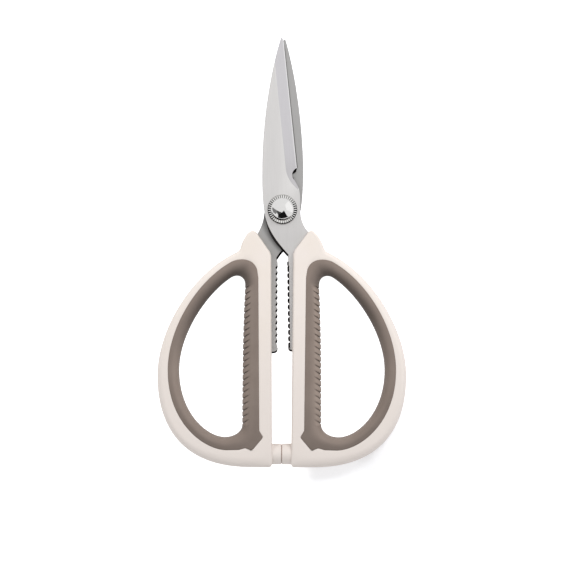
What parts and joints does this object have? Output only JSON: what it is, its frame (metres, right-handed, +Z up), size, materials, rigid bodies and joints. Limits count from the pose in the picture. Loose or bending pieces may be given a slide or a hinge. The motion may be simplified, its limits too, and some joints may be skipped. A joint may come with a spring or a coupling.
{
  "type": "poultry shears",
  "caption": "Closed poultry shears with two pointed steel blades, a bone notch, toothed inner bars and D-shaped two-colour handles, turning on one screw.",
  "frame": {"origin": "on the table, below the middle of the closed shears' length and width", "axes": "+Y to the tips of the blades, +Z up from the table, +X towards the handle of the front blade"},
  "size_m": [0.116, 0.2, 0.0151],
  "materials": {
    "blade_steel": "fine satin brushing, brighter along the ground bevels",
    "handle_plastic": "smooth cream hard plastic with a soft sheen",
    "soft_grip": "taupe soft-touch rubber, matt",
    "polished_steel": "polished",
    "washer_steel": "plain rolled steel"
  },
  "bodies": {
    "back_half": {"back_blade": "blade_steel", "left_handle_frame": "handle_plastic", "left_grip": "soft_grip", "pivot_screw": "polished_steel", "thin_washer": "washer_steel", "serrated_washer": "polished_steel", "cap_nut": "polished_steel"},
    "front_half": {"front_blade": "blade_steel", "right_handle_frame": "handle_plastic", "right_grip": "soft_grip"}
  },
  "joints": [
    {"name": "pivot", "type": "hinge", "parent": "back_half", "child": "front_half", "pos_m": [0, 0.02, 0], "axis": [0, 0, 1], "range_deg": [0, 90]}
  ]
}
